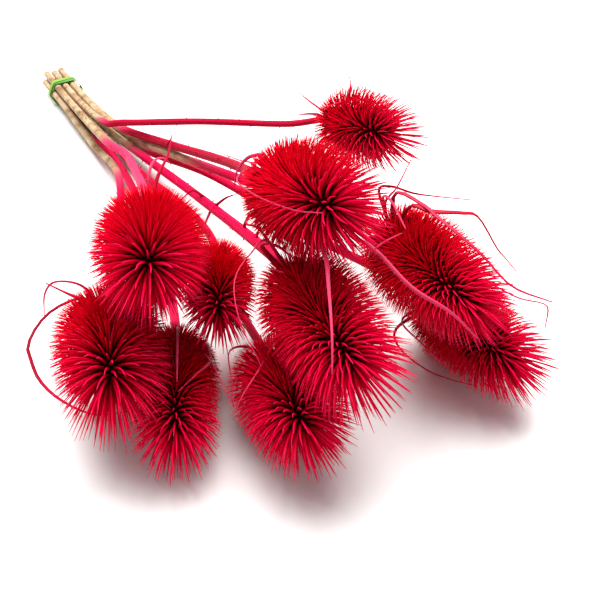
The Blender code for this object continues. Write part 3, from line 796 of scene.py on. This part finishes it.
class Nodes:
    """Short forms for building a material's nodes."""

    def __init__(self, name):
        self.material = bpy.data.materials.new(name)
        self.material.use_nodes = True
        self.tree = self.material.node_tree
        self.shader = self.tree.nodes["Principled BSDF"]

    def node(self, kind, inputs=None, **settings):
        """A new node with its settings and inputs."""
        node = self.tree.nodes.new(kind)
        for key, value in settings.items():
            setattr(node, key, value)
        for key, value in (inputs or {}).items():
            self.put(node.inputs[key], value)
        return node

    def put(self, socket, value):
        """Links a socket to another node's output, or sets it to a constant."""
        if isinstance(value, bpy.types.NodeSocket):
            self.tree.links.new(value, socket)
        else:
            socket.default_value = value

    def tint(self):
        """The three values that the vertices carry."""
        source = self.node("ShaderNodeAttribute", attribute_name="tint")
        return self.node("ShaderNodeSeparateColor", {"Color": source.outputs["Color"]}).outputs

    def ramp(self, factor, stops):
        """A colour that changes with the factor, through these stops."""
        ramp = self.node("ShaderNodeValToRGB", {"Fac": factor})
        elements = ramp.color_ramp.elements
        while len(elements) < len(stops):
            elements.new(0.5)
        for element, (place, colour) in zip(elements, stops):
            element.position = place
            element.color = (*colour, 1.0)
        return ramp.outputs["Color"]

    def rise(self, factor, start, end, top=1.0):
        """A grey that rises from nothing at the start to its top at the end."""
        return self.ramp(factor, [(start, (0.0, 0.0, 0.0)), (end, (top, top, top))])

    def mix(self, factor, first, second, blend="MIX"):
        """The first colour where the factor is 0 and the second where it is 1, or the two blended."""
        mix = self.node("ShaderNodeMix", data_type="RGBA", blend_type=blend)
        for place, value in zip(MIX_INPUTS, (factor, first, second)):
            self.put(mix.inputs[place], value)
        return mix.outputs[MIX_OUTPUT]

    def noise(self, scale):
        """A fine grain that is fixed to the object."""
        place = self.node("ShaderNodeTexCoord").outputs["Object"]
        inputs = {"Vector": place, "Scale": scale, "Detail": NOISE_DETAIL}
        return self.node("ShaderNodeTexNoise", inputs).outputs["Fac"]

    def bump(self, height, strength, distance):
        """Raises the surface by a height, at most by a distance in metres."""
        bump = self.node("ShaderNodeBump", {"Height": height, "Strength": strength, "Distance": distance})
        self.put(self.shader.inputs["Normal"], bump.outputs["Normal"])

    def finish(self, colour, roughness, specular):
        """Sets the surface and returns the material."""
        self.put(self.shader.inputs["Base Color"], colour)
        self.put(self.shader.inputs["Roughness"], roughness)
        self.put(self.shader.inputs["Specular IOR Level"], specular)
        return self.material


def spine_material():
    """Dyed spines, with painted shade darkening them towards the root; felted at the head's base and rosy round
    its tip, the rosy partly a painted pinkish sheen.
    """
    nodes = Nodes("dyed_spines_and_painted_shade")
    along, tone, place = nodes.tint()
    # Painted shade: each ramp runs from dark at the root, where the spines shade each other, to the dye's red
    # at the tip; the felt is darkened least.
    body = nodes.ramp(along, [(0.0, (0.10, 0.0, 0.003)), (0.15, (0.46, 0.0, 0.008)),
                              (0.35, (0.84, 0.0, 0.014)), (0.8, (0.90, 0.0, 0.020)),
                              (1.0, (0.92, 0.002, 0.035))])
    felt = nodes.ramp(along, [(0.0, (0.50, 0.0, 0.007)), (0.3, (0.84, 0.0, 0.013)),
                              (1.0, (0.92, 0.001, 0.024))])
    # Rosy round the tip: partly a painted pinkish sheen on the tip's spines, and dark at the root as painted
    # shade.
    rosy_and_painted_sheen = nodes.ramp(along, [(0.0, (0.13, 0.0, 0.006)), (0.2, (0.50, 0.0, 0.020)),
                              (0.45, (0.84, 0.0, 0.048)), (1.0, (0.92, 0.006, 0.085))])
    shades = nodes.ramp(tone, [(0.0, (0.86, 0.86, 0.86)), (1.0, (1.0, 1.0, 1.15))])
    side = nodes.rise(place, 0.25, 0.6)
    front = nodes.rise(place, 0.6, 0.95, top=0.8)
    colour = nodes.mix(front, nodes.mix(side, felt, body), rosy_and_painted_sheen)
    return nodes.finish(nodes.mix(1.0, colour, shades, "MULTIPLY"), roughness=0.45, specular=0.05)


def core_material():
    """The dyed core: a red felt at the base, and painted shade, nearly black, between the spines further on."""
    nodes = Nodes("dyed_core_and_painted_shade")
    place = nodes.tint()[2]
    grain = nodes.noise(scale=900.0)
    # Painted shade: nearly black where the core lies deep between the spines
    painted_shade = nodes.ramp(grain, [(0.3, (0.008, 0.0, 0.0)), (0.7, (0.05, 0.0, 0.003))])
    felt = nodes.ramp(grain, [(0.3, (0.30, 0.0, 0.004)), (0.7, (0.55, 0.0, 0.008))])
    side = nodes.rise(place, 0.2, 0.6)
    colour = nodes.mix(side, felt, painted_shade)
    nodes.bump(grain, strength=0.5, distance=0.0004)
    return nodes.finish(colour, roughness=0.9, specular=0.0)


def bract_material():
    """Dyed bracts, from deep red to pale pink, deepest at the root."""
    nodes = Nodes("dyed_bracts")
    along, paleness, _ = nodes.tint()
    deep = nodes.ramp(along, [(0.0, (0.20, 0.0, 0.012)), (0.5, (0.60, 0.0, 0.03)), (1.0, (0.66, 0.01, 0.07))])
    pale = nodes.ramp(along, [(0.0, (0.50, 0.004, 0.045)), (0.35, (0.70, 0.065, 0.17)),
                              (1.0, (0.64, 0.035, 0.12))])
    colour = nodes.mix(paleness, deep, pale)
    nodes.bump(nodes.noise(scale=700.0), strength=0.25, distance=0.0002)
    return nodes.finish(colour, roughness=0.5, specular=0.15)


def stem_material():
    """Stems: straw at the cut end, then pink, then the red that each one has."""
    nodes = Nodes("stem_skin")
    dyed, skin, _ = nodes.tint()
    grain = nodes.noise(scale=140.0)
    straw = nodes.ramp(grain, [(0.3, (0.24, 0.13, 0.06)), (0.5, (0.43, 0.29, 0.17)),
                               (0.7, (0.56, 0.41, 0.28))])
    red = nodes.ramp(skin, [(0.0, (0.30, 0.0, 0.018)), (0.4, (0.44, 0.0, 0.028)), (0.75, (0.62, 0.0, 0.058)),
                            (1.0, (0.72, 0.03, 0.11))])
    pink = nodes.ramp(dyed, [(0.0, (0.52, 0.16, 0.13)), (0.5, (0.60, 0.05, 0.11)), (1.0, (0.6, 0.01, 0.08))])
    change = nodes.rise(dyed, 0.0, 0.4)
    halfway = nodes.rise(dyed, 0.4, 1.0)
    colour = nodes.mix(change, straw, nodes.mix(halfway, pink, red))
    nodes.bump(grain, strength=0.5, distance=0.0005)
    return nodes.finish(colour, roughness=0.55, specular=0.08)


def band_material():
    """Green rubber, with painted light making its outer turn lighter, as where light shines through the rubber.
    """
    nodes = Nodes("green_rubber")
    along = nodes.tint()[0]
    colour = nodes.ramp(along, [(0.0, (0.05, 0.24, 0.04)), (1.0, (0.20, 0.38, 0.05))])
    nodes.bump(nodes.noise(scale=400.0), strength=0.1, distance=0.0002)
    return nodes.finish(colour, roughness=0.5, specular=0.2)


def make_bunch():
    """Every piece of the bunch, hung on the root body, with the node of the solids that it stands for hidden.
    """
    heads = {name: Head(row) for name, row in HEADS.items()}
    spines, cores, bracts = spine_material(), core_material(), bract_material()
    skin = stem_material()
    stems = [stem_route(head, STEM_STEPS) for head in heads.values()]
    for number, (name, head) in enumerate(heads.items()):
        rng = np.random.default_rng(SEED + number)
        label = name.replace("head_", "")
        made = []
        shape = Shape()
        grow_spines(shape, head, walls_round(name, heads), stems, rng)
        made.append(shape.build("spines_" + label, spines))
        shape = Shape()
        grow_core(shape, head)
        made.append(shape.build("core_" + label, cores))
        shape = Shape()
        grow_bracts(shape, head, rng)
        made.append(shape.build("bracts_" + label, bracts))
        for piece in made:
            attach(piece, "root")
            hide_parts(name)
        stem = make_stem("stalk_" + label, head, skin, rng)
        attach(stem, "root")
        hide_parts("stem_" + label)
    band = make_band(band_material())
    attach(band, "root")
    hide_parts("tie")


def make_floor():
    """The white surface that the bunch lies on."""
    bpy.ops.mesh.primitive_plane_add(size=FLOOR_SIZE, location=(0, 0, 0))
    floor = bpy.context.object
    floor.name = "floor"
    nodes = Nodes("floor")
    floor.data.materials.append(nodes.finish(FLOOR_COLOUR, roughness=0.6, specular=0.2))


def make_lights():
    """A dim cool sky, and one large round light above the bunch and a little behind it."""
    world = bpy.data.worlds.new("studio")
    world.use_nodes = True
    world.node_tree.nodes["Background"].inputs["Color"].default_value = SKY_COLOUR
    world.node_tree.nodes["Background"].inputs["Strength"].default_value = SKY_STRENGTH
    bpy.context.scene.world = world
    data = bpy.data.lights.new("key", "AREA")
    data.shape = "DISK"
    data.size = KEY_SIZE
    data.energy = KEY_POWER
    data.color = KEY_COLOUR
    light = bpy.data.objects.new("key", data)
    light.location = KEY_PLACE
    light.rotation_euler = (Vector(KEY_TARGET) - Vector(KEY_PLACE)).to_track_quat("-Z", "Y").to_euler()
    bpy.context.scene.collection.objects.link(light)


def make_camera():
    """The photograph's camera."""
    data = bpy.data.cameras.new("camera")
    data.sensor_width = SENSOR_WIDTH
    data.lens = FOCAL_PIXELS / FRAME_PIXELS * SENSOR_WIDTH
    data.clip_start = CAMERA_NEAREST * MM
    camera = bpy.data.objects.new("camera", data)
    flat = math.cos(CAMERA_DOWN)
    ahead = Vector((math.sin(CAMERA_HEADING) * flat, math.cos(CAMERA_HEADING) * flat, -math.sin(CAMERA_DOWN)))
    camera.location = CAMERA * MM + Vector(SHIFT)
    camera.rotation_euler = ahead.to_track_quat("-Z", "Y").to_euler()
    bpy.context.scene.collection.objects.link(camera)
    bpy.context.scene.camera = camera


make_camera()
make_bunch()
make_floor()
make_lights()
bpy.context.scene.view_settings.view_transform = "Standard"
